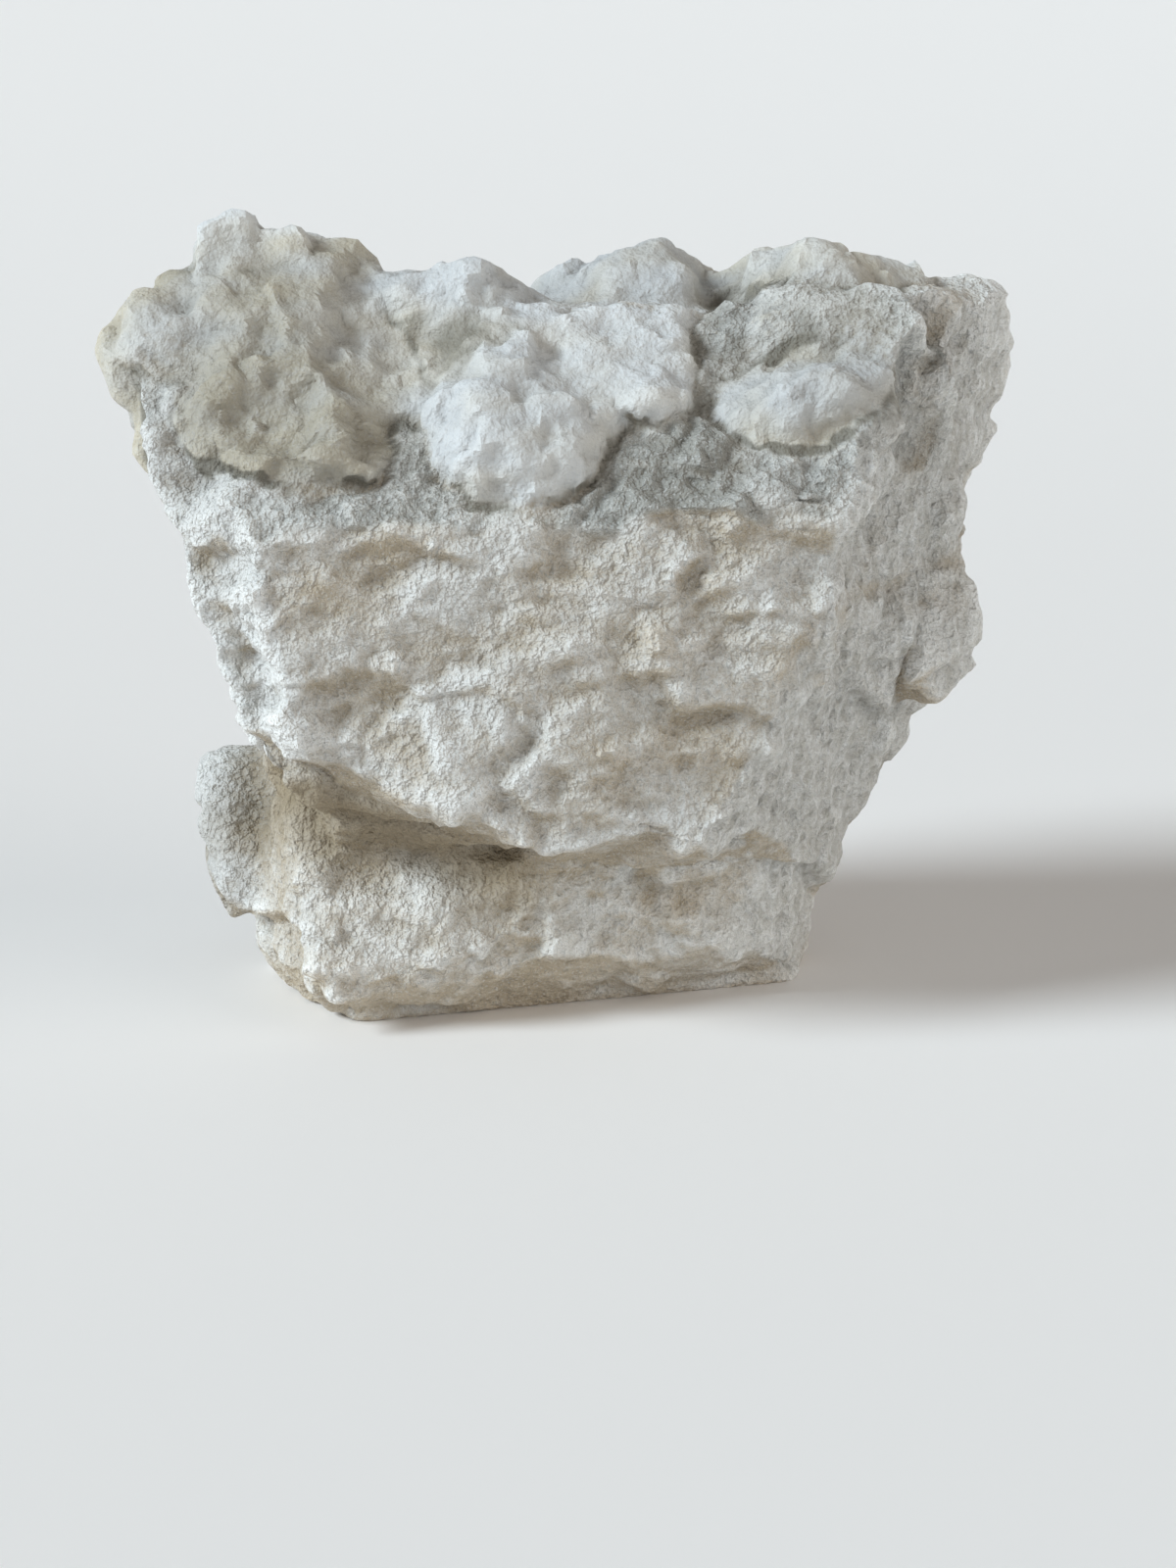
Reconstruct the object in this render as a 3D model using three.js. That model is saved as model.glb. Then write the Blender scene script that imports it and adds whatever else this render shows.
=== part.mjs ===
// A rough block of carving stone, as it was broken from its bed: one solid, in millimetres, +Z up.
// It stands on its broken foot with its widest side up. The front, which faces -Y, is a flat slab that
// stands proud of the stone below it. Above the slab a slope of smooth nodules climbs to a ragged crest.
import * as THREE from "three";
import { mergeVertices } from "three/addons/utils/BufferGeometryUtils.js";

// Driving dimensions
const WIDTH = 280; // along X, from the left shoulder to the horn on the right
const DEPTH = 152; // along Y, from the lip of the slab to the back
const HEIGHT = 242; // along Z, from the foot to the left peak
const FACET = 7.8; // about the side of one triangle
const EDGE = 1.2; // rounding of a broken edge
const WELD = 2.2; // width of the join between one mass and the next
const SWELLS = [
  { length: 62, height: 3.5, seed: 54 },
  { length: 25, height: 2.8, seed: 57 },
]; // the waves that keep the broken faces from lying flat
const CALM = 25; // height above the foot where the waves reach their full height

// The surface is found along rays that come in to a point from which all of it is seen
const HEART = new THREE.Vector3(0, 8, 104);
const STEPS = 90; // steps along a ray
const CARE = 0.6; // share of the distance to the rock that a step takes
const STRIDE = 10; // longest step
const ACROSS = new THREE.Vector3(1, 0, 0);
const INWARD = new THREE.Vector3(0, 1, 0);

// A broken face: the way it faces, as a turn to the viewer's right and a tilt upwards in degrees,
// and a point that it passes through.
function face(turn, tilt, x, y, z) {
  const [a, e] = [turn, tilt].map(THREE.MathUtils.degToRad);
  const normal = new THREE.Vector3(Math.sin(a) * Math.cos(e), -Math.cos(a) * Math.cos(e), Math.sin(e));
  return { normal, offset: normal.dot(new THREE.Vector3(x, y, z)) };
}

// The upper mass, from the slab back
const body = [
  face(0, 4, 0, -52, 110), // front, behind the slab
  face(0, -46, 0, -54, 76), // underside, behind the lip of the slab
  face(0, 40, 0, -52, 165), // slope under the nodules
  face(175, 80, 0, 0, 214), // crest
  face(-86, -18, -121, 0, 165), // left side
  face(-90, 16, -134, 0, 202), // left shoulder
  face(-70, -42, -101, 0, 79), // left side, cut in to the waist
  face(52, -14, 93, -22, 118), // right front
  face(88, 8, 131, 16, 122), // right side
  face(80, -27, 109, 10, 73), // right side, running in to the foot
  face(27, -50, 44, -56, 66), // underside of the right front
  face(180, 5, 0, 74, 110), // back
  face(-140, -6, -90, 57, 130), // back left
  face(142, -8, 94, 57, 130), // back right
  face(178, 44, 0, 62, 200), // back of the crest
  face(176, -34, 0, 58, 26), // chipped back of the foot
];

// The slab that makes the front
const slab = [
  face(2, 3, 0, -66, 112), // its flat front
  face(0, 44, 0, -60, 163), // its top, running under the nodules
  face(-36, -62, -20, -64, 74), // its lip on the left, climbing to the waist
  face(0, -64, 20, -64, 67), // its lip on the right
  face(-58, -8, -94, -50, 118), // its left end
  face(26, -5, 58, -65, 118), // its right edge
  face(60, -26, 52, -61, 79), // its right edge, cut back to the lip
  face(52, -14, 80, -55, 118), // its right end
  face(180, 0, 0, -30, 118), // its back, inside the body
];

// The lower mass, which the rock stands on
const foot = [
  face(-4, 24, -50, -49, 26), // front, left of the middle
  face(16, -4, 17, -36, 30), // front, right of the middle
  face(14, -40, 17, -34, 18), // chipped front edge
  face(48, 0, 62, -26, 30), // right front
  face(80, -8, 82, 5, 20), // right side
  face(-56, 4, -88, -30, 30), // left front
  face(-84, 6, -103, 15, 30), // left side
  face(-58, -42, -90, -28, 16), // chipped left edge
  face(0, 90, 0, 0, 88), // top, inside the body
  face(180, -14, 0, 54, 30), // back
  face(-136, -10, -76, 40, 30), // back left
  face(138, -10, 68, 38, 30), // back right
];

// The tall peak on the left, with a smooth leaning facet in front
const leftPeak = [
  face(-4, 32, -85, -4, 232),
  face(-78, 12, -110, 2, 233),
  face(176, 80, -85, 4, 240),
  face(70, 30, -76, 5, 233),
  face(180, 34, -85, 24, 226),
  face(0, -90, -85, 10, 195),
];

// The rough mass below it
const leftMass = [
  face(-12, 34, -82, -38, 196),
  face(-54, 18, -116, -18, 200),
  face(-14, 66, -94, -8, 225),
  face(52, 32, -60, -26, 198),
  face(-10, -50, -85, -40, 168),
  face(-86, -18, -122, 0, 170),
  face(180, 0, -85, 10, 200),
];

// The middle of the slope, up to its own crest
const midMass = [
  face(-10, 42, -30, -19, 219),
  face(60, 40, -17, -14, 221),
  face(-34, 46, -52, -16, 219),
  face(176, 78, -28, -8, 229),
  face(0, -90, -28, -20, 186),
  face(180, 34, -28, 8, 222),
];

// The smooth plate right of it, with a corner that overhangs the slope
const plate = [
  face(6, 46, 20, -34, 199),
  face(62, 24, 41, -28, 199),
  face(20, -16, 22, -44, 187),
  face(-60, 0, -40, -40, 195),
  face(176, 80, 10, -12, 217),
  face(180, 0, 10, 10, 210),
  face(0, -90, 10, -20, 180),
];

// The peak behind the plate
const rearPeak = [
  face(8, 46, 25, 4, 224),
  face(-50, 48, 10, 14, 226),
  face(56, 46, 40, 14, 225),
  face(176, 80, 24, 16, 232),
  face(180, 34, 24, 40, 216),
  face(0, -90, 24, 18, 195),
];

// The knob on the right, with a step below it
const knob = [
  face(-12, 40, 78, -14, 218),
  face(-64, 32, 65, 0, 224),
  face(48, 50, 93, 0, 226),
  face(176, 78, 78, 2, 235),
  face(-6, -40, 78, -24, 204),
  face(70, -5, 106, -5, 212),
  face(180, 34, 80, 30, 216),
  face(0, -90, 80, 0, 192),
];

// The shoulder under the knob, as far as the corner of the right front
const rightShoulder = [
  face(-10, 42, 84, -42, 190),
  face(52, -12, 103, -37, 194),
  face(88, 20, 112, -10, 200),
  face(-62, 30, 58, -40, 184),
  face(176, 80, 84, -4, 220),
  face(180, 0, 84, 20, 200),
  face(0, -90, 84, -20, 168),
];

// The horn on the far right
const horn = [
  face(52, -10, 96, -30, 192),
  face(88, 4, 144, 16, 204),
  face(20, 76, 126, 8, 217),
  face(80, -22, 138, 15, 168),
  face(72, -56, 122, 12, 142),
  face(180, 14, 125, 34, 200),
  face(-84, 24, 108, -8, 206),
  face(0, -90, 124, 12, 130),
];

const masses = [body, slab, foot, leftPeak, leftMass, midMass, plate, rearPeak, knob, rightShoulder, horn];

// A rounded mass: its middle, its half-sizes, its lean clockwise as seen from the front, and its lean
// back, in degrees.
function nodule(x, y, z, rx, ry, rz, lean, back) {
  const [side, rear] = [lean, back].map(THREE.MathUtils.degToRad);
  return { middle: new THREE.Vector3(x, y, z), radii: new THREE.Vector3(rx, ry, rz), side, rear };
}

const nodules = [
  nodule(-14, -45, 181, 26, 13, 21, 4, 32), // middle of the slope
  nodule(77, -33, 189, 26, 14, 14, -16, 24), // right of the slope
  nodule(-82, -34, 179, 34, 22, 22, 6, 22), // lower left of the slope
  nodule(-61, -48, 177, 11, 9, 10, 0, 20), // lump at its right end
  nodule(-92, -47, 161, 20, 10, 11, -14, 10), // lump at its foot
  nodule(-122, -4, 199, 18, 24, 22, 0, 0), // left shoulder
  nodule(-119, -14, 182, 12, 16, 17, 10, 0), // below the shoulder
  nodule(111, 4, 210, 12, 18, 13, 0, 0), // between the knob and the horn
  nodule(-103, 18, 44, 17, 30, 30, -16, 0), // lobe low on the left
  nodule(118, 8, 116, 12, 22, 22, 12, 0), // bulge on the right side
];

// A hollow where a flake came away: a round bowl, sunk into a face at a point to a half-width and a depth.
function hollow(turn, tilt, x, y, z, half, depth) {
  const radius = (half * half + depth * depth) / (2 * depth);
  const { normal } = face(turn, tilt, x, y, z);
  return { middle: new THREE.Vector3(x, y, z).addScaledVector(normal, radius - depth), radius };
}

const hollows = [
  hollow(-8, 44, -44, -28, 207, 25, 7), // scoop down the middle of the slope
  hollow(-10, 20, -78, -42, 197, 17, 5), // under the mass on the left
  hollow(14, 34, -47, -50, 182, 12, 5), // between the nodules
  hollow(-10, 48, -97, -17, 221, 9, 3), // dimple below the left peak
  hollow(54, -10, 100, -22, 146, 26, 4), // right front
  hollow(70, 24, 111, -12, 212, 9, 5), // head of the groove in front of the horn
  hollow(60, 0, 107, -28, 196, 12, 8), // middle of the groove
  hollow(60, -8, 108, -20, 178, 12, 6), // foot of the groove
  hollow(-72, -4, -104, -24, 96, 16, 3), // waist on the left
  hollow(0, 0, -50, -67, 110, 24, 2), // low on the slab
  hollow(4, 6, 18, -66, 140, 30, 2.5), // high on the slab
  hollow(6, 4, 44, -66, 96, 20, 2), // right of the slab
  hollow(180, 5, 22, 75, 122, 46, 8), // middle of the back
  hollow(-166, 24, -52, 64, 176, 32, 6), // back, high on the left
  hollow(168, -12, 64, 60, 62, 34, 6), // back, low on the right
  hollow(-88, -12, -124, 8, 158, 24, 4), // left side
];

// The largest of some numbers, rounded off over a width where two are nearly equal.
const softMax = (values, width) => width * Math.log(values.reduce((sum, v) => sum + Math.exp(v / width), 0));

// How far a point lies outside the faces of a mass.
const outsideFaces = (faces, p) => softMax(faces.map(({ normal, offset }) => normal.dot(p) - offset), EDGE);

// About how far a point lies outside a nodule.
function outsideNodule({ middle, radii, side, rear }, p) {
  const upright = p.clone().sub(middle).applyAxisAngle(ACROSS, rear).applyAxisAngle(INWARD, -side);
  const unit = upright.divide(radii);
  return (unit.length() * (unit.length() - 1)) / unit.clone().divide(radii).length();
}

// A number from -1 to 1 for each point of a lattice.
function chance(x, y, z, seed) {
  let h = Math.imul(x, 374761393) ^ Math.imul(y, 668265263);
  h ^= Math.imul(z, 1440662683) ^ Math.imul(seed, 974634541);
  h = Math.imul(h ^ (h >>> 15), 1274126177);
  h = Math.imul(h ^ (h >>> 13), 668265261);
  return ((h ^ (h >>> 16)) >>> 0) / 2147483648 - 1;
}

// A smooth wave between the numbers at the eight lattice points about a point.
function wave(p, size, seed) {
  const q = p.clone().divideScalar(size);
  const cell = q.clone().floor();
  const [u, v, w] = q.sub(cell).toArray().map((t) => t * t * (3 - 2 * t));
  const { x, y, z } = cell;
  const { lerp } = THREE.MathUtils;
  const along = (j, k) => lerp(chance(x, y + j, z + k, seed), chance(x + 1, y + j, z + k, seed), u);
  return lerp(lerp(along(0, 0), along(1, 0), v), lerp(along(0, 1), along(1, 1), v), w);
}

// About how far a point lies outside the whole rock, below zero inside: the masses together, less the
// hollows, and cut flat where it stands.
function outside(p) {
  const inside = [
    ...masses.map((faces) => -outsideFaces(faces, p)),
    ...nodules.map((lump) => -outsideNodule(lump, p)),
  ];
  const bowls = hollows.map(({ middle, radius }) => radius - middle.distanceTo(p));
  return Math.max(softMax([-softMax(inside, WELD), ...bowls], WELD), -p.z);
}

// The point where the rock is met, coming from outside along a ray to the heart.
function meet(way) {
  let reach = WIDTH;
  for (let step = 0; step < STEPS; step++) {
    reach -= Math.min(CARE * outside(HEART.clone().addScaledVector(way, reach)), STRIDE);
  }
  return HEART.clone().addScaledVector(way, reach);
}

// A point of the surface, moved by the waves.
function ripple(p) {
  const shift = new THREE.Vector3();
  SWELLS.forEach(({ length, height, seed }) => {
    const waves = [0, 1, 2].map((axis) => height * wave(p, length, seed + axis));
    shift.add(new THREE.Vector3(...waves));
  });
  return p.clone().addScaledVector(shift, THREE.MathUtils.smoothstep(p.z, 0, CALM));
}

// The skin: the grid of a box, each of its points drawn in along its ray to the rock, then fitted to the
// driving dimensions.
const sizes = [WIDTH, DEPTH, HEIGHT];
const box = new THREE.BoxGeometry(...sizes, ...sizes.map((length) => Math.round(length / FACET)));
box.deleteAttribute("normal");
box.deleteAttribute("uv");
const skin = mergeVertices(box);
const points = skin.attributes.position;
for (let i = 0; i < points.count; i++) {
  const p = ripple(meet(new THREE.Vector3().fromBufferAttribute(points, i).normalize()));
  points.setXYZ(i, p.x, p.y, p.z);
}
skin.computeBoundingBox();
const { min, max } = skin.boundingBox.clone();
skin.translate(-(min.x + max.x) / 2, -(min.y + max.y) / 2, -min.z);
skin.scale(WIDTH / (max.x - min.x), DEPTH / (max.y - min.y), HEIGHT / (max.z - min.z));
skin.computeVertexNormals();

const rock = new THREE.Mesh(
  skin,
  new THREE.MeshStandardMaterial({ color: 0xd9d6cd, roughness: 0.8, metalness: 0 }),
);
rock.name = "rock";

const group = new THREE.Group();
group.add(rock);
export default group;
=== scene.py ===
import bpy
import numpy as np
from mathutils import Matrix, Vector


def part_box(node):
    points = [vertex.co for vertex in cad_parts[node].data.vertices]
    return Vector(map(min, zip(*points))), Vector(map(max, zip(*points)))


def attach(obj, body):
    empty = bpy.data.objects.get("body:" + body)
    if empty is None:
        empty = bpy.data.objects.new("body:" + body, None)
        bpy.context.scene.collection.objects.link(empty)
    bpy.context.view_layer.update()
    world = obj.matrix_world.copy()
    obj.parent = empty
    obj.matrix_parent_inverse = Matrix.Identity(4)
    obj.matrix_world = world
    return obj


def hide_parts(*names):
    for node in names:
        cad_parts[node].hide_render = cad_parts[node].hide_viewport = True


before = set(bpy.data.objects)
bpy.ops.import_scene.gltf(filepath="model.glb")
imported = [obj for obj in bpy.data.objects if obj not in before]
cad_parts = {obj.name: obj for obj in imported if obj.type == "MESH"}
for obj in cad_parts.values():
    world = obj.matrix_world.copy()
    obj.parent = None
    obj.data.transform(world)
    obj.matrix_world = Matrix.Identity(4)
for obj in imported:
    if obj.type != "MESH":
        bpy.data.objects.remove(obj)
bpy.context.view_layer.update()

# The rock
# One block of alabaster, levered from its bed, so that every side is a fracture. Its ground is sugary stone,
# purer waxy nodules stand out of it, and green-grey clay fills the joints between them.
MM = 0.001
HEART = np.array([0, 8, 104])  # a point inside that sees the whole surface
EDGE = 1.2  # rounding of a broken edge
WELD = 1.7  # width of the join between one mass and the next
SWELLS = [(62, 3.5, 54), (25, 2.8, 57)]  # long waves of the broken faces: length, height and seed
CALM = 25  # height above the foot where the waves reach their full height


def face(turn, tilt, x, y, z):
    """A broken face as a row (nx, ny, nz, offset): a plane through a point, that faces a turn to the viewer's
    right and a tilt upwards, in degrees."""
    a, e = np.radians([turn, tilt])
    normal = np.array([np.sin(a) * np.cos(e), -np.cos(a) * np.cos(e), np.sin(e)])
    return np.append(normal, normal @ [x, y, z])


def nodule(x, y, z, rx, ry, rz, lean, back):
    """A rounded mass as a row: its middle, its half-sizes, and its leans to the right and back in radians."""
    return np.array([x, y, z, rx, ry, rz, *np.radians([lean, back])])


def hollow(turn, tilt, x, y, z, half, depth):
    """A bowl as a row (x, y, z, radius): the ball that cuts a face to a half-width and depth at a point."""
    radius = (half**2 + depth**2) / (2 * depth)
    return np.append([x, y, z] + face(turn, tilt, x, y, z)[:3] * (radius - depth), radius)


# The upper mass, from the slab back
body = [
    face(0, 4, 0, -52, 110),  # front, behind the slab
    face(0, -46, 0, -54, 76),  # underside, behind the lip of the slab
    face(0, 40, 0, -52, 165),  # slope under the nodules
    face(175, 80, 0, 0, 214),  # crest
    face(-86, -18, -121, 0, 165),  # left side
    face(-90, 16, -134, 0, 202),  # left shoulder
    face(-70, -42, -101, 0, 79),  # left side, cut in to the waist
    face(52, -14, 93, -22, 118),  # right front
    face(88, 8, 131, 16, 122),  # right side
    face(80, -27, 109, 10, 73),  # right side, running in to the foot
    face(27, -50, 44, -56, 66),  # underside of the right front
    face(180, 5, 0, 74, 110),  # back
    face(-140, -6, -90, 57, 130),  # back left
    face(142, -8, 94, 57, 130),  # back right
    face(178, 44, 0, 62, 200),  # back of the crest
    face(176, -34, 0, 58, 26),  # chipped back of the foot
]

# The slab that makes the front
slab = [
    face(2, 3, 0, -66, 112),  # its flat front
    face(0, 44, 0, -60, 163),  # its top, running under the nodules
    face(-36, -62, -20, -64, 74),  # its lip on the left, climbing to the waist
    face(0, -64, 20, -64, 67),  # its lip on the right
    face(-58, -8, -94, -50, 118),  # its left end
    face(26, -5, 58, -65, 118),  # its right edge
    face(60, -26, 52, -61, 79),  # its right edge, cut back to the lip
    face(52, -14, 80, -55, 118),  # its right end
    face(180, 0, 0, -30, 118),  # its back, inside the body
]

# The lower mass, which the rock stands on
foot = [
    face(-4, 24, -50, -49, 26),  # front, left of the middle
    face(16, -4, 17, -36, 30),  # front, right of the middle
    face(14, -40, 17, -34, 18),  # chipped front edge
    face(48, 0, 62, -26, 30),  # right front
    face(80, -8, 82, 5, 20),  # right side
    face(-56, 4, -88, -30, 30),  # left front
    face(-84, 6, -103, 15, 30),  # left side
    face(-58, -42, -90, -28, 16),  # chipped left edge
    face(0, 90, 0, 0, 88),  # top, inside the body
    face(180, -14, 0, 54, 30),  # back
    face(-136, -10, -76, 40, 30),  # back left
    face(138, -10, 68, 38, 30),  # back right
]

# The tall peak on the left, with a smooth leaning facet in front
left_peak = [
    face(-4, 32, -85, -4, 232),
    face(-78, 12, -110, 2, 233),
    face(176, 80, -85, 4, 240),
    face(70, 30, -76, 5, 233),
    face(180, 34, -85, 24, 226),
    face(0, -90, -85, 10, 195),
]

# The rough mass below it
left_mass = [
    face(-12, 34, -82, -38, 196),
    face(-54, 18, -116, -18, 200),
    face(-14, 66, -94, -8, 225),
    face(52, 32, -60, -26, 198),
    face(-10, -50, -85, -40, 168),
    face(-86, -18, -122, 0, 170),
    face(180, 0, -85, 10, 200),
]

# The middle of the slope, up to its own crest
mid_mass = [
    face(-10, 42, -30, -19, 219),
    face(60, 40, -17, -14, 221),
    face(-34, 46, -52, -16, 219),
    face(176, 78, -28, -8, 229),
    face(0, -90, -28, -20, 186),
    face(180, 34, -28, 8, 222),
]

# The smooth plate right of it, with a corner that overhangs the slope
plate = [
    face(6, 46, 20, -34, 199),
    face(62, 24, 41, -28, 199),
    face(20, -16, 22, -44, 187),
    face(-60, 0, -40, -40, 195),
    face(176, 80, 10, -12, 217),
    face(180, 0, 10, 10, 210),
    face(0, -90, 10, -20, 180),
]

# The peak behind the plate
rear_peak = [
    face(8, 46, 25, 4, 224),
    face(-50, 48, 10, 14, 226),
    face(56, 46, 40, 14, 225),
    face(176, 80, 24, 16, 232),
    face(180, 34, 24, 40, 216),
    face(0, -90, 24, 18, 195),
]

# The knob on the right, with a step below it
knob = [
    face(-12, 40, 78, -14, 218),
    face(-64, 32, 65, 0, 224),
    face(48, 50, 93, 0, 226),
    face(176, 78, 78, 2, 235),
    face(-6, -40, 78, -24, 204),
    face(70, -5, 106, -5, 212),
    face(180, 34, 80, 30, 216),
    face(0, -90, 80, 0, 192),
]

# The shoulder under the knob, as far as the corner of the right front
right_shoulder = [
    face(-10, 42, 84, -42, 190),
    face(52, -12, 103, -37, 194),
    face(88, 20, 112, -10, 200),
    face(-62, 30, 58, -40, 184),
    face(176, 80, 84, -4, 220),
    face(180, 0, 84, 20, 200),
    face(0, -90, 84, -20, 168),
]

# The horn on the far right
horn = [
    face(52, -10, 96, -30, 192),
    face(88, 4, 144, 16, 204),
    face(20, 76, 126, 8, 217),
    face(80, -22, 138, 15, 168),
    face(72, -56, 122, 12, 142),
    face(180, 14, 125, 34, 200),
    face(-84, 24, 108, -8, 206),
    face(0, -90, 124, 12, 130),
]

# The nodules, of which the first are waxy
NODULES = np.array([
    nodule(-14, -45, 181, 26, 13, 21, 4, 32),  # middle of the slope
    nodule(77, -33, 189, 26, 14, 14, -16, 24),  # right of the slope
    nodule(-82, -34, 179, 34, 22, 22, 6, 22),  # lower left of the slope
    nodule(-61, -48, 177, 11, 9, 10, 0, 20),  # lump at its right end
    nodule(-122, -4, 199, 18, 24, 22, 0, 0),  # left shoulder
    nodule(-119, -14, 182, 12, 16, 17, 10, 0),  # below the shoulder
    nodule(111, 4, 210, 12, 18, 13, 0, 0),  # between the knob and the horn
    nodule(-103, 18, 44, 17, 30, 30, -16, 0),  # lobe low on the left
    nodule(118, 8, 116, 12, 22, 22, 12, 0),  # bulge on the right side
    nodule(-92, -47, 161, 20, 10, 11, -14, 10),  # lump at the foot of the left mass
])
WAXY_NODULES = 6

# The hollows where flakes came away
HOLLOWS = np.array([
    hollow(-8, 44, -44, -28, 207, 25, 7),  # scoop down the middle of the slope
    hollow(-10, 20, -78, -42, 197, 17, 5),  # under the mass on the left
    hollow(14, 34, -47, -50, 182, 12, 5),  # between the nodules
    hollow(-10, 48, -97, -17, 221, 9, 3),  # dimple below the left peak
    hollow(54, -10, 100, -22, 146, 26, 4),  # right front
    hollow(70, 24, 111, -12, 212, 9, 5),  # head of the groove in front of the horn
    hollow(60, 0, 107, -28, 196, 12, 8),  # middle of the groove
    hollow(60, -8, 108, -20, 178, 12, 6),  # foot of the groove
    hollow(-72, -4, -104, -24, 96, 16, 3),  # waist on the left
    hollow(0, 0, -50, -67, 110, 24, 2),  # low on the slab
    hollow(4, 6, 18, -66, 140, 30, 2.5),  # high on the slab
    hollow(6, 4, 44, -66, 96, 20, 2),  # right of the slab
    hollow(180, 5, 22, 75, 122, 46, 8),  # middle of the back
    hollow(-166, 24, -52, 64, 176, 32, 6),  # back, high on the left
    hollow(168, -12, 64, 60, 62, 34, 6),  # back, low on the right
    hollow(-88, -12, -124, 8, 158, 24, 4),  # left side
])

SUGARY = [body, slab, foot, horn]
WAXY = [left_peak, left_mass, mid_mass, plate, rear_peak, knob]
CLAY = [right_shoulder]
MASSES = SUGARY + WAXY + CLAY
LOOKS = np.array([  # the brightness and the warmth of each mass, then of each nodule
    (0.98, 0.5),  # body
    (1.02, 0.5),  # slab
    (1.12, 0.5),  # foot
    (1.04, 0.5),  # horn
    (0.99, 0.0),  # left peak
    (0.59, 0.9),  # left mass
    (0.83, 0.2),  # middle mass
    (1.12, 0.0),  # plate
    (0.82, 0.2),  # rear peak
    (0.87, 0.4),  # knob
    (0.85, 0.5),  # right shoulder
    (0.97, 0.15),  # nodule in the middle of the slope
    (0.80, 0.1),  # nodule right of the slope
    (0.49, 1.0),  # nodule lower left of the slope
    (0.60, 0.8),  # lump at its right end
    (0.82, 0.7),  # left shoulder
    (0.84, 0.7),  # below the shoulder
    (1.00, 0.5),  # between the knob and the horn
    (0.80, 0.5),  # lobe low on the left
    (1.00, 0.5),  # bulge on the right side
    (1.00, 0.5),  # lump at the foot of the left mass
])
PLANES = np.concatenate(MASSES)
FIRST_PLANE = np.cumsum([0] + [len(mass) for mass in MASSES[:-1]])


def outside_each(p):
    """How far each point lies outside each mass: the soft maximum of its distances outside the mass's faces,
    or, for a nodule, its length in half-sizes k gives k (k - 1) over the length of its gradient."""
    steep = np.exp((p @ PLANES[:, :3].T - PLANES[:, 3]) / EDGE)
    flat = EDGE * np.log(np.add.reduceat(steep, FIRST_PLANE, axis=1))
    lean, back = NODULES[:, 6], NODULES[:, 7]
    x, y, z = np.moveaxis(p[:, None] - NODULES[:, :3], 2, 0)
    y, z = y * np.cos(back) - z * np.sin(back), y * np.sin(back) + z * np.cos(back)
    x, z = x * np.cos(lean) - z * np.sin(lean), x * np.sin(lean) + z * np.cos(lean)
    q = np.stack([x, y, z], axis=2) / NODULES[:, 3:6]
    k = np.linalg.norm(q, axis=2)
    return np.hstack([flat, k * (k - 1) / np.linalg.norm(q / NODULES[:, 3:6], axis=2)])


def outside(p):
    """How far each point lies outside the rock: the soft minimum over its masses, then the soft maximum with
    the depth in each bowl, then cut flat at the foot."""
    masses = WELD * -np.log(np.exp(-outside_each(p) / WELD).sum(axis=1))
    bowls = HOLLOWS[:, 3] - np.linalg.norm(p[:, None] - HOLLOWS[:, :3], axis=2)
    carved = WELD * np.log(np.exp(masses / WELD) + np.exp(bowls / WELD).sum(axis=1))
    return np.maximum(carved, -p[:, 2])


def chance(cell, seed):
    """A number from -1 to 1 for each lattice point: its counts, each times a large odd number, are mixed
    bitwise."""
    x, y, z = np.moveaxis(cell.astype(np.int64).astype(np.uint32), -1, 0)
    h = x * np.uint32(374761393) ^ y * np.uint32(668265263) ^ z * np.uint32(1440662683)
    h = h ^ np.uint32(seed * 974634541 % 2**32)
    h = (h ^ (h >> 15)) * np.uint32(1274126177)
    h = (h ^ (h >> 13)) * np.uint32(668265261)
    return (h ^ (h >> 16)) / 2147483648 - 1


def wave(p, length, seed):
    """Smooth noise from -1 to 1: the chances at the eight lattice points about a point, eased into each
    other."""
    q = p / length
    cell = np.floor(q)
    u, v, w = np.moveaxis((q - cell) ** 2 * (3 - 2 * (q - cell)), 1, 0)
    corner = [[[chance(cell + [i, j, k], seed) for i in (0, 1)] for j in (0, 1)] for k in (0, 1)]
    rows = [[low + (high - low) * u for low, high in level] for level in corner]
    low, high = [first + (second - first) * v for first, second in rows]
    return low + (high - low) * w


# A turn that sets a lattice askew to the faces
TURNED = np.array([[0.36, 0.48, -0.80], [-0.80, 0.60, 0.0], [0.48, 0.64, 0.60]])


def rough(p, length, seed, octaves=3):
    """Noise with finer noise on it: waves of which each has half the length and a share of the height before,
    on a lattice turned again."""
    share_left = 0.6
    total = 0
    for i in range(octaves):
        p = p @ TURNED
        total = total + share_left**i * wave(p, length / 2**i, seed + i)
    return total


def clumps(p, length, seed):
    """Rounded lumps with sharp clefts between them: the size of two waves, without their sign."""
    small = 0.55
    q = p @ TURNED
    return np.abs(wave(q, length, seed)) + small * np.abs(wave(q @ TURNED, length / 2, seed + 1))


def chips(p, size, seed):
    """Flat chips with narrow steps between them: each chance middle nearby has its own height and slope, and
    the one that is nearest counts, eased into the next over a narrow border."""
    scatter, crispness, offset = 0.42, 18, 0.3
    q = p @ TURNED / size
    cell = np.floor(q)
    total = weight = 0
    for step in np.ndindex(3, 3, 3):
        near = cell + np.array(step) - 1
        chances = np.stack([chance(near, seed + i) for i in range(7)], axis=1)
        gap = q - near - 0.5 - scatter * chances[:, :3]
        nearness = np.exp(-crispness * (gap**2).sum(axis=1))
        total = total + nearness * ((gap * chances[:, 3:6]).sum(axis=1) + offset * chances[:, 6])
        weight = weight + nearness
    return total / weight


def ease(low, high, value):
    """From 0 at low to 1 at high, with no corner at either end."""
    t = np.clip((value - low) / (high - low), 0, 1)
    return t * t * (3 - 2 * t)


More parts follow.
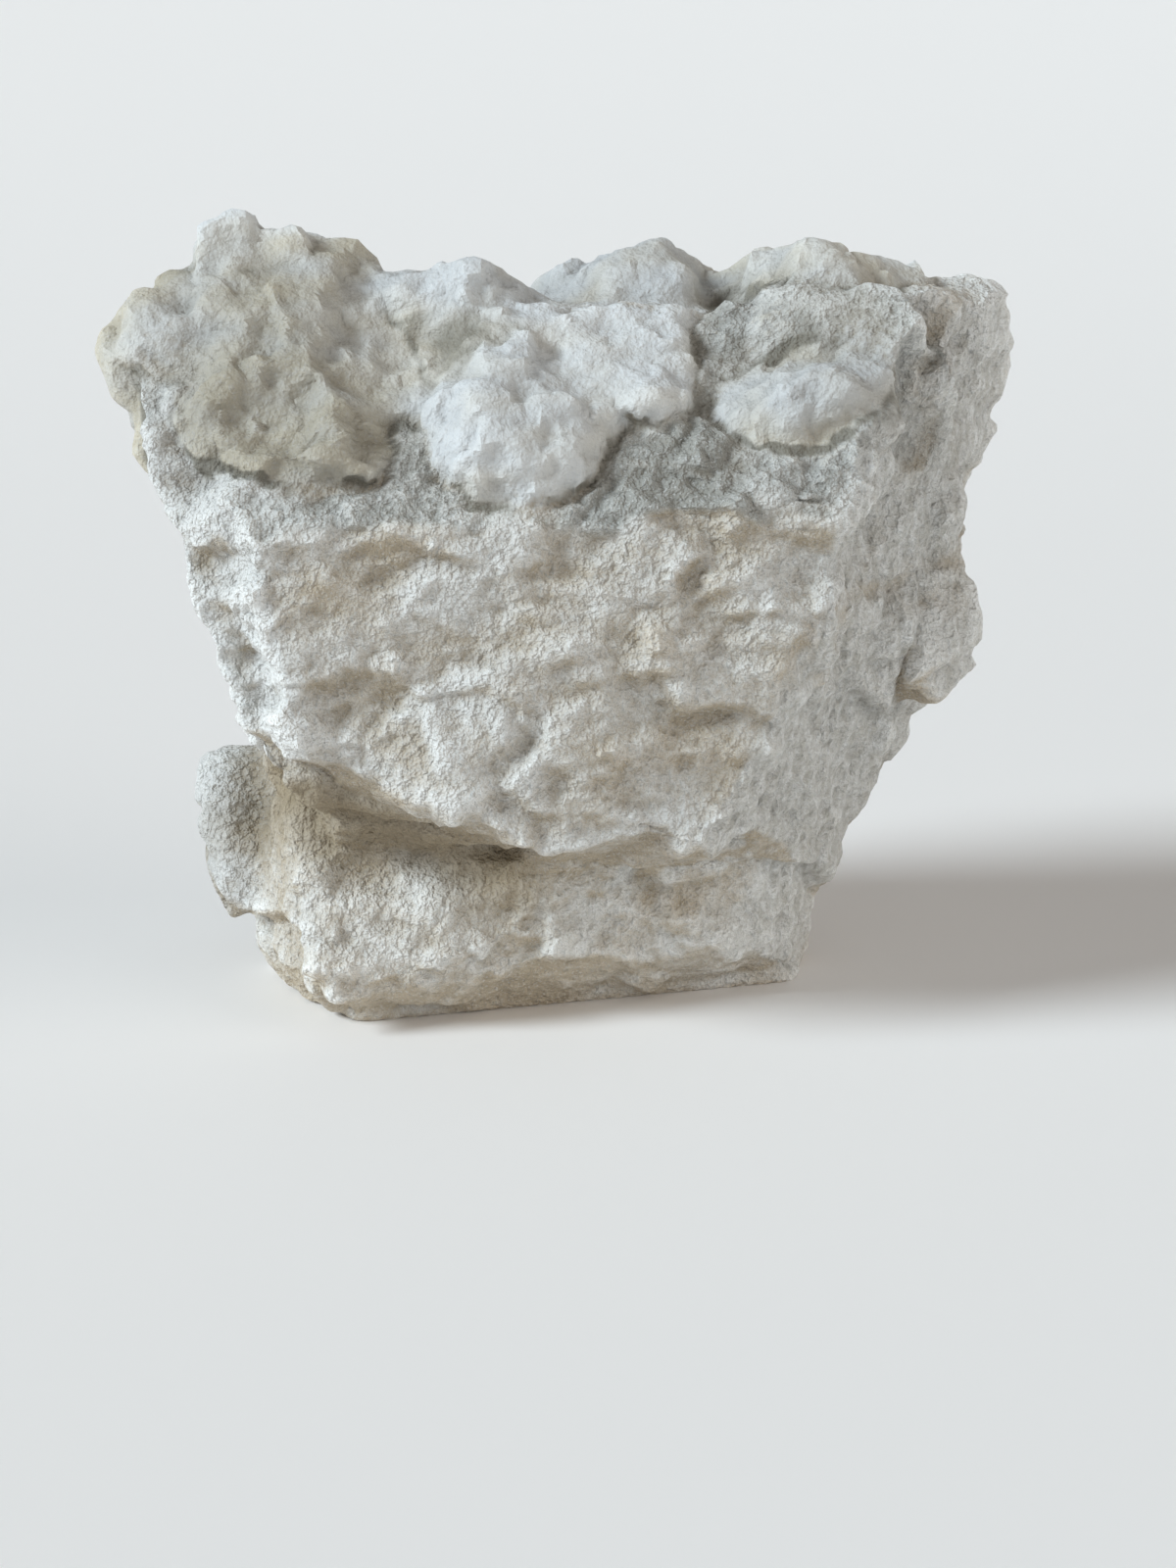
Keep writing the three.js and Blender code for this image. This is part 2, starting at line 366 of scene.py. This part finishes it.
def box_skin(steps):
    """The skin of a box of cells: on each of its six sides two parameters count along the side's two axes.
    Gives the lattice points, each once, and the quads between them, anticlockwise as seen from outside."""
    sides = []
    for axis in range(3):
        across, up = (axis + 1) % 3, (axis + 2) % 3
        i, j = [grid.ravel() for grid in np.mgrid[:steps[across], :steps[up]]]
        for end in (0, 1):
            quads = np.zeros((len(i), 4, 3), int)
            quads[:, :, axis] = end * steps[axis]
            turn = [(0, 0), (1, 0), (1, 1), (0, 1)] if end else [(0, 0), (0, 1), (1, 1), (1, 0)]
            for corner, (a, b) in enumerate(turn):
                quads[:, corner, across] = i + a
                quads[:, corner, up] = j + b
            sides.append(quads)
    points, index = np.unique(np.concatenate(sides).reshape(-1, 3), axis=0, return_inverse=True)
    return points, index.reshape(-1, 4)


def about(values, quads, times):
    """The mean of the values about each point: of the quads about it, as often as asked."""
    count = np.bincount(quads.ravel())
    for _ in range(times):
        means = values[quads].mean(axis=1)
        values = np.stack([np.bincount(quads.ravel(), np.repeat(m, 4)) / count for m in means.T], axis=1)
    return values


def normals_of(p, quads):
    """At each point, the mean of the crossed diagonals of the quads about it, at unit length."""
    a, b, c, d = np.moveaxis(p[quads], 1, 0)
    crossed = np.cross(c - a, d - b)
    around = [np.bincount(quads.ravel(), np.repeat(part, 4), len(p)) for part in crossed.T]
    total = np.stack(around, axis=1)
    return total / np.linalg.norm(total, axis=1, keepdims=True)


def jumble(p, length, seed, step, octaves):
    """Three roughnesses as the x, y and z of a shift, with their seeds a step apart."""
    return np.stack([rough(p, length, seed + step * i, octaves) for i in range(3)], axis=1)


# The large form, as a ray from each point of a box's skin to the heart meets it, fitted to the solid's box
STEPS = np.array([160, 86, 144])  # cells along the box's width, depth and height
START, LONGEST, MARCHES = 200.0, 12, 32  # where a ray starts, its longest step, and how many it takes
MARCH, PULL = 0.75, 0.8  # shares of the distance outside that a step takes on a ray and in a pass
PASSES = 14  # passes that even out the quads along the surface
CRUMBLE, CRUMB = 1.3, 9  # height and length of the roughness that breaks up the edges
low, high = [np.array(corner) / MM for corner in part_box("rock")]
lattice, quads = box_skin(STEPS)
ways = (lattice / STEPS - 0.5) * (high - low)
ways /= np.linalg.norm(ways, axis=1, keepdims=True)
reach = np.full(len(ways), START)
for _ in range(MARCHES):
    reach -= np.minimum(MARCH * outside(HEART + reach[:, None] * ways), LONGEST)
bare = HEART + reach[:, None] * ways
for _ in range(PASSES):
    facing = normals_of(bare, quads)
    drift = about(bare, quads, 1) - bare
    drift -= (drift * facing).sum(axis=1, keepdims=True) * facing
    bare = bare + drift
    bare -= PULL * outside(bare)[:, None] * facing
calm = ease(0, CALM, bare[:, 2])[:, None]
swells = [
    height * np.stack([wave(bare, length, seed + i) for i in range(3)], axis=1)
    for length, height, seed in SWELLS
]
form = bare + calm * sum(swells)
near_corner, far_corner = form.min(axis=0), form.max(axis=0)
form = low + (form - near_corner) * (high - low) / (far_corner - near_corner)
form += calm * CRUMBLE * jumble(form, CRUMB, 61, 1, 2)
facing = normals_of(about(form, quads, 3), quads)

# What each point is made of, from the mass that it lies on, with wandering borders
STRAY, STRAY_LENGTH = 2.6, 9  # how far and over what length a border wanders
BORDER, FADE, FAR = 1.9, 4, 60  # widths over which stuff and looks change, and where a mass counts no more
SKIRT = 3  # how far the wax of the right nodule runs out past it
FIBRE_WAY, BED_WAY = [0.75, -0.6, -0.25], [-0.93, -0.35, 0]  # where the fibrous and the bedded faces look
FIBRE_TURN, BED_TURN, BED_FOOT = (0.76, 0.94), (0.45, 0.8), (70, 90)  # how squarely, and from what height
SLOPE_TURN, SLOPE_FOOT, SLOPE_BACK = (0.2, 0.5), (146, 160), (30, 10)  # where the slope under the nodules is
SLOPE_FALL, SLOPE_BEND = 0.12, -20  # how its edge falls to the left, and from where
CLUMPS_LEFT, CLUMPS_TOP = (-20, 15), (205, 190)  # where the silt is clumpy
LIP_REACH, LIP_TOP, LIP_BACK, LIP_RIGHT = (34, 6), (92, 80), (10, -20), (20, -30)  # the shade of the lip
LUMPS_RIGHT = (-45, -65)  # where the wax is lumpy
apart = outside_each(bare + STRAY * jumble(bare, STRAY_LENGTH, 41, 4, 3))
apart[:, len(MASSES) + 1] -= SKIRT
share = np.exp(-apart / BORDER)
share /= share.sum(axis=1, keepdims=True)
ends = np.cumsum([len(SUGARY), len(WAXY), len(CLAY), WAXY_NODULES])
_, waxy_masses, clay_masses, waxy_nodules, _ = np.split(share, ends, axis=1)
wax_rock = waxy_masses.sum(axis=1)
waxy = wax_rock + waxy_nodules.sum(axis=1)
in_front = share[:, :2].sum(axis=1)  # on the body or the slab
x, y, z = form.T
wander = rough(form, 16, 53)
above = ease(*SLOPE_FOOT, z + 7 * wander - SLOPE_FALL * np.minimum(x - SLOPE_BEND, 0))
slope = ease(*SLOPE_TURN, facing[:, 2] + 0.15 * wander) * above * ease(*SLOPE_BACK, y)
clay = np.maximum(clay_masses.sum(axis=1), slope * in_front)
crease = (4 * waxy * (1 - waxy)) ** 3  # where wax meets other stone
seam = (2 * (wax_rock**2 - (waxy_masses**2).sum(axis=1))) ** 2  # where two waxy masses meet
fibre = ease(*FIBRE_TURN, facing @ FIBRE_WAY) * (1 - waxy)
# The bedded faces look toward the window; the shader also whitens them as a painted highlight
bedded_and_lit = ease(*BED_TURN, facing @ BED_WAY) * (1 - waxy) * ease(*BED_FOOT, z)
clumpy = slope * in_front * (0.35 + 0.65 * ease(*CLUMPS_LEFT, x))
clumpy += 0.7 * clay_masses[:, 0] * ease(*CLUMPS_TOP, z)
# Painted shade: darkens the colour under the lip of the slab, where it lies in shade
lip_shade = ease(*LIP_REACH, apart[:, 1]) * (1 - share[:, 1]) * ease(*LIP_TOP, z)
lip_shade *= ease(*LIP_BACK, y) * ease(*LIP_RIGHT, x + 20 * wander)
blend = np.exp(-np.clip(apart, 0, FAR) / FADE)
blend /= blend.sum(axis=1, keepdims=True)
tone, warm = (blend @ LOOKS).T
lumpy = ease(*LUMPS_RIGHT, x) * waxy

# The relief of each kind of fracture, out from the large form: heights times chips or noise of a length and
# seed, with the form squeezed along an axis where the chips are long
FILL, PIT = 0.7, 0.7  # share of a pit that is filled, below its first depth
CREASE, SEAM = 2.0, 1.6  # depths of the creases about the wax and of the seams in it
NARROW, WIDE = 4, 40  # how often the points about a point are averaged to find a small or a large hollow
OVERHANG = (-0.05, -0.6)  # how far a face looks down
sugar = 1.2 * rough(form, 26, 75, 2) + 4.6 * chips(form * [0.7, 0.85, 1], 22, 79)
sugar += 1.5 * chips(form * [0.45, 0.8, 1], 9, 71) + 0.7 * chips(form * [0.7, 0.9, 1], 4.5, 77)
wax = 2.8 * chips(form, 25, 83) + 1.5 * chips(form, 10, 91) + 0.8 * chips(form, 4.8, 93)
wax += lumpy * (1.6 * chips(form, 15, 87) + 0.4 * rough(form, 7, 89))
silt = 0.9 * rough(form, 9, 95) + 1.2 * chips(form, 12, 131)
silt += clumpy * (5.0 * clumps(form, 11, 115) - 2.0)
strands = 1.8 * chips(form * [1, 1, 0.35], 6, 103)
beds = 1.6 * chips(form * [0.3, 0.3, 1], 6, 121)
ground = sugar + fibre * strands + bedded_and_lit * beds
relief = ground + waxy * (wax - ground) + clay * (1 - waxy) * (silt - ground)
relief -= (CREASE * crease + SEAM * seam) * ease(-0.2, 0.5, wave(form, 14, 127))
relief *= ease(0, 4, z)
points = form + relief[:, None] * facing
facing = normals_of(points, quads)
dip = ((about(points, quads, NARROW) - points) * facing).sum(axis=1)
points += FILL * np.clip(dip - PIT, 0, None)[:, None] * facing
points[:, 2] = np.maximum(points[:, 2], 0)
facing = normals_of(points, quads)
# How deep each point lies in a small and a large hollow, and how far its face looks down: the shader darkens
# by these as painted shade
dip = ((about(points, quads, NARROW) - points) * facing).sum(axis=1)
bowl = ((about(points, quads, WIDE) - points) * facing).sum(axis=1)
under = ease(*OVERHANG, facing[:, 2])

mesh = bpy.data.meshes.new("rock_surface")
mesh.from_pydata((points * MM).tolist(), [], quads.tolist())
mesh.polygons.foreach_set("use_smooth", np.ones(len(quads), bool))
traits = {
    "waxy": waxy,
    "clay": clay,
    "crease": crease,
    "seam": seam,
    "fibre": fibre,
    "bedded_and_lit": bedded_and_lit,
    "clumpy": clumpy,
    "lip_shade": lip_shade,
    "dip": dip,
    "bowl": bowl,
    "under": under,
    "tone": tone,
    "warm": warm,
}
for name, values in traits.items():
    mesh.attributes.new(name, "FLOAT", "POINT").data.foreach_set("value", values.astype(np.float32))
SHARP = 22  # degrees between two faces from which their edge is kept sharp
mesh.set_sharp_from_angle(angle=np.radians(SHARP))
mesh.update()
rock = bpy.data.objects.new("rock_surface", mesh)
bpy.context.scene.collection.objects.link(rock)


class Shade:
    """A socket of a material's node tree, on which + - and * add Math nodes."""

    tree = None

    def __init__(self, socket):
        self.socket = socket

    @classmethod
    def node(cls, kind, settings=None, **sockets):
        """Adds a node: first its settings are set, then its sockets, as values or links. A socket is named
        with underscores for its spaces, or by its place, such as _2."""
        made = cls.tree.nodes.new(kind)
        for key, value in (settings or {}).items():
            setattr(made, key, value)
        for key, value in sockets.items():
            named = (s for s in made.inputs if s.enabled and s.name == key.replace("_", " "))
            target = made.inputs[int(key[1:])] if key[0] == "_" else next(named)
            if isinstance(value, Shade):
                cls.tree.links.new(value.socket, target)
            else:
                target.default_value = value
        return made

    @classmethod
    def math(cls, operation, first, second):
        return cls(cls.node("ShaderNodeMath", {"operation": operation}, _0=first, _1=second).outputs[0])

    def __add__(self, other):
        return self.math("ADD", self, other)

    def __sub__(self, other):
        return self.math("SUBTRACT", self, other)

    def __rsub__(self, other):
        return self.math("SUBTRACT", other, self)

    def __mul__(self, other):
        return self.math("MULTIPLY", self, other)

    __radd__ = __add__
    __rmul__ = __mul__

    def between(self, low, high):
        """From 0 at low to 1 at high, eased at both ends."""
        ends = {"Value": self, "From_Min": low, "From_Max": high}
        return Shade(self.node("ShaderNodeMapRange", {"interpolation_type": "SMOOTHSTEP"}, **ends).outputs[0])

    def clamped(self, low, high):
        """The value, held between two limits."""
        return Shade(self.node("ShaderNodeClamp", None, Value=self, Min=low, Max=high).outputs[0])

    @classmethod
    def trait(cls, name):
        """A value that the mesh holds at each of its points."""
        return cls(cls.node("ShaderNodeAttribute", {"attribute_name": name}).outputs["Fac"])

    @classmethod
    def mix(cls, factor, first, second):
        """A colour between two colours."""
        paint = [(*c, 1) if isinstance(c, tuple) else c for c in (first, second)]
        made = cls.node("ShaderNodeMix", {"data_type": "RGBA"}, _0=factor, _6=paint[0], _7=paint[1])
        return cls(made.outputs[2])


stone = bpy.data.materials.new("alabaster")
stone.use_nodes = True
stone.node_tree.nodes.clear()
Shade.tree = stone.node_tree
place = Shade(Shade.node("ShaderNodeTexCoord").outputs["Object"])


def speckle(length, detail, roughness=0.5, stretch=(1, 1, 1)):
    """Noise from 0 to 1, of a length in millimetres along an axis that isn't stretched."""
    where = Shade(Shade.node("ShaderNodeMapping", None, Vector=place, Scale=stretch).outputs[0])
    sizes = {"Scale": 1 / (length * MM), "Detail": detail, "Roughness": roughness}
    return Shade(Shade.node("ShaderNodeTexNoise", None, Vector=where, **sizes).outputs["Fac"])


names = ("waxy", "clay", "crease", "seam", "fibre", "bedded_and_lit", "clumpy", "lip_shade", "dip", "bowl", "under")
waxy_part, clay_part, crease_part, seam_part, fibre_part, window_lit_part = [Shade.trait(n) for n in names[:6]]
clumpy_part, lip_shade_part, dip_part, bowl_part, under_part = [Shade.trait(n) for n in names[6:]]
tone_part, warm_part = Shade.trait("tone"), Shade.trait("warm")
patch = speckle(22, 2, 0.5, (0.65, 1, 1))
grit = speckle(2.6, 2, 0.6)
grain = speckle(0.8, 0)
threads = speckle(2.2, 0, 0.5, (1, 1, 0.22))
fine = (grit - 0.5) * 1.8 + (grain - 0.5) * 1.7

# The sugary ground, tan in its patches and, as painted shade, in its hollows and on its undersides; whiter,
# as a painted highlight, on the faces toward the window
TAN, SUGAR_WHITE = (0.46, 0.385, 0.285), (0.68, 0.675, 0.655)
sugar_white_lit_and_shaded = 0.5 - dip_part * 0.08 - bowl_part * 0.06 + (patch - 0.5) * 1.6 + fine * 0.45
# Painted shade on the undersides and a painted highlight on the faces toward the window
sugar_white_lit_and_shaded = sugar_white_lit_and_shaded - under_part * 0.45 + window_lit_part * 0.6
sugar_colour = Shade.mix(sugar_white_lit_and_shaded.between(-0.1, 1.0), TAN, SUGAR_WHITE)

# The fibrous faces on the right
THREAD_GREY, THREAD_WHITE = (0.50, 0.485, 0.445), (0.74, 0.74, 0.73)
thread_high = (threads * 0.7 + fine * 0.4 + 0.15).between(0.1, 0.9)
thread_colour = Shade.mix(thread_high, THREAD_GREY, THREAD_WHITE)

# The wax, cool or warm, with a brown stain in its hollows
COOL_WAX, WARM_WAX = (0.61, 0.625, 0.635), (0.61, 0.55, 0.43)
STAIN, WAX_WHITE = (0.44, 0.37, 0.27), (0.69, 0.685, 0.67)
wax_edge = (waxy_part + (grit - 0.5) * 0.9 + (patch - 0.55) * 0.8).between(0.2, 0.8)
warmth = (warm_part * 0.9 + (patch - 0.5) * 1.6 + 0.1).between(0.0, 1.0)
stain = (bowl_part * 0.12 + dip_part * 0.25 + (patch - 0.45) * 2.0 + (grit - 0.5) * 0.8).between(0.1, 1.2)
wax_colour = Shade.mix(warmth, COOL_WAX, WARM_WAX)
wax_colour = Shade.mix(stain * (0.3 + warm_part * 0.3), wax_colour, STAIN)
wax_colour = Shade.mix((fine + 0.2).between(0.1, 0.9) * 0.4, wax_colour, WAX_WHITE)

# The silt between the nodules, darkest where it is clumpy, and darker in its dips as painted shade
SILT_GREY, SILT_WHITE = (0.29, 0.29, 0.27), (0.67, 0.67, 0.645)
silt_high = fine * 0.8 + (patch - 0.5) * 1.6 - dip_part * 0.15 + 0.75 - clumpy_part * 0.95
silt_colour = Shade.mix(silt_high.between(0.0, 1.0), SILT_GREY, SILT_WHITE)

# All of them together, with dark flecks, pale crystals, painted shade under the lip, and dark joints with
# painted shade in the creases
FLECK, CRYSTAL = (0.26, 0.235, 0.19), (0.80, 0.80, 0.79)
LIP_SHADE, DIRT_AND_SHADE = (0.28, 0.22, 0.14), (0.18, 0.165, 0.13)
colour = Shade.mix(fibre_part * 0.85, sugar_colour, thread_colour)
colour = Shade.mix(clay_part * 0.85, colour, silt_colour)
colour = Shade.mix(wax_edge, colour, wax_colour)
fleck = (grain - 0.62).between(0.0, 0.06) * (1 - waxy_part * 0.8)
colour = Shade.mix(fleck * 0.4, colour, FLECK)
glint = (0.37 - grain).between(0.0, 0.06) * (1 - waxy_part * 0.6)
colour = Shade.mix(glint * 0.35, colour, CRYSTAL)
# Painted shade under the lip of the slab
colour = Shade.mix(lip_shade_part * 0.9, colour, LIP_SHADE)
# Partly dark joints, partly painted shade: darker in the creases about the wax, most where the face looks
# down, and in dips
crease_dirt_and_shade = (crease_part + seam_part * 0.7) * (patch * 2.8 - 0.7 + under_part * 0.8) + dip_part * 0.12 - 0.4
colour = Shade.mix(crease_dirt_and_shade.between(0.0, 0.6) * 0.8, colour, DIRT_AND_SHADE)
# Painted shade: darker in small dips and broad hollows; the tone of each mass, with a painted highlight on
# the faces toward the window, and the grain
hollow_shade = dip_part.clamped(-1.2, 2.5) * 0.10 + bowl_part.clamped(-5, 8) * 0.025
tone_lit_and_shaded = tone_part * (1.0 + window_lit_part * 0.1 - hollow_shade + fine * (0.16 - waxy_part * 0.1))
scaled = Shade.node("ShaderNodeVectorMath", {"operation": "SCALE"}, Vector=colour, Scale=tone_lit_and_shaded)
colour = Shade(scaled.outputs[0])

GRAIN_HEIGHT, SHINE = 2.0 * MM, 0.4
height = grit * (1.5 - waxy_part * 0.9)
bumped = Shade.node("ShaderNodeBump", None, Strength=1.0, Distance=GRAIN_HEIGHT, Height=height)
bump = Shade(bumped.outputs[0])
gloss = 0.86 - waxy_part * 0.26 + (grit - 0.5) * 0.3
surface = Shade.node("ShaderNodeBsdfPrincipled", None, Base_Color=colour, Roughness=gloss, Normal=bump)
surface.inputs["Specular IOR Level"].default_value = SHINE
Shade.node("ShaderNodeOutputMaterial", None, Surface=Shade(surface.outputs[0]))
mesh.materials.append(stone)
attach(rock, "root")
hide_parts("rock")

# The floor
# A sheet of white card, flat under the rock and rising in a slow curve all round it, most of all behind it.
HALF, BACK, LINES = 14, 6, 57  # metres to the sides and the front, metres to the back, lines each way
across, along = np.meshgrid(np.linspace(-HALF, HALF, LINES), np.linspace(-HALF, BACK, LINES))
rise = 0.08 * np.clip(along - 0.5, 0, None) ** 2
rise += 0.02 * np.clip(np.hypot(across, along) - 1.5, 0, None) ** 2
sheet_points = np.stack([across, along, rise], axis=2).reshape(-1, 3)
corner = (np.arange(LINES - 1)[:, None] * LINES + np.arange(LINES - 1)).ravel()
cells = np.stack([corner, corner + 1, corner + LINES + 1, corner + LINES], axis=1)
sheet = bpy.data.meshes.new("floor")
sheet.from_pydata(sheet_points.tolist(), [], cells.tolist())
sheet.polygons.foreach_set("use_smooth", np.ones(len(corner), bool))
floor = bpy.data.objects.new("floor", sheet)
bpy.context.scene.collection.objects.link(floor)
card = bpy.data.materials.new("card")
card.use_nodes = True
card.node_tree.nodes["Principled BSDF"].inputs["Base Color"].default_value = (0.93, 0.905, 0.89, 1)
card.node_tree.nodes["Principled BSDF"].inputs["Roughness"].default_value = 0.9
sheet.materials.append(card)

# The light
# A broad cool window on the left and a weak warm lamp on the right, in a pale room.
for name, power, hue, spread, aim in [  # watts per square metre, colour, degrees across, direction
    ("window", 2.95, (0.82, 0.93, 1.0), 20, (0.80, 0.26, -0.54)),
    ("lamp", 0.8, (1.0, 0.96, 0.90), 40, (-0.85, 0.35, -0.40)),
]:
    light = bpy.data.lights.new(name, "SUN")
    light.energy = power
    light.color = hue
    light.angle = np.radians(spread)
    made = bpy.data.objects.new(name, light)
    made.rotation_euler = Vector(aim).to_track_quat("-Z", "Y").to_euler()
    bpy.context.scene.collection.objects.link(made)
room = bpy.data.worlds.new("room")
room.use_nodes = True
room.node_tree.nodes["Background"].inputs["Color"].default_value = (1.0, 0.97, 0.925, 1)
room.node_tree.nodes["Background"].inputs["Strength"].default_value = 0.225
bpy.context.scene.world = room
bpy.context.scene.view_settings.view_transform = "Standard"

# The camera
# It stands where the rock was photographed from, a little above it.
lens = bpy.data.cameras.new("camera")
lens.lens = 52.65  # millimetres
camera = bpy.data.objects.new("camera", lens)
camera.location = (0.0062, -0.7114, 0.2696)
DOWN = 16.06  # degrees below the level that it looks
camera.rotation_euler = (np.radians(90 - DOWN), 0, 0)
bpy.context.scene.collection.objects.link(camera)
bpy.context.scene.camera = camera
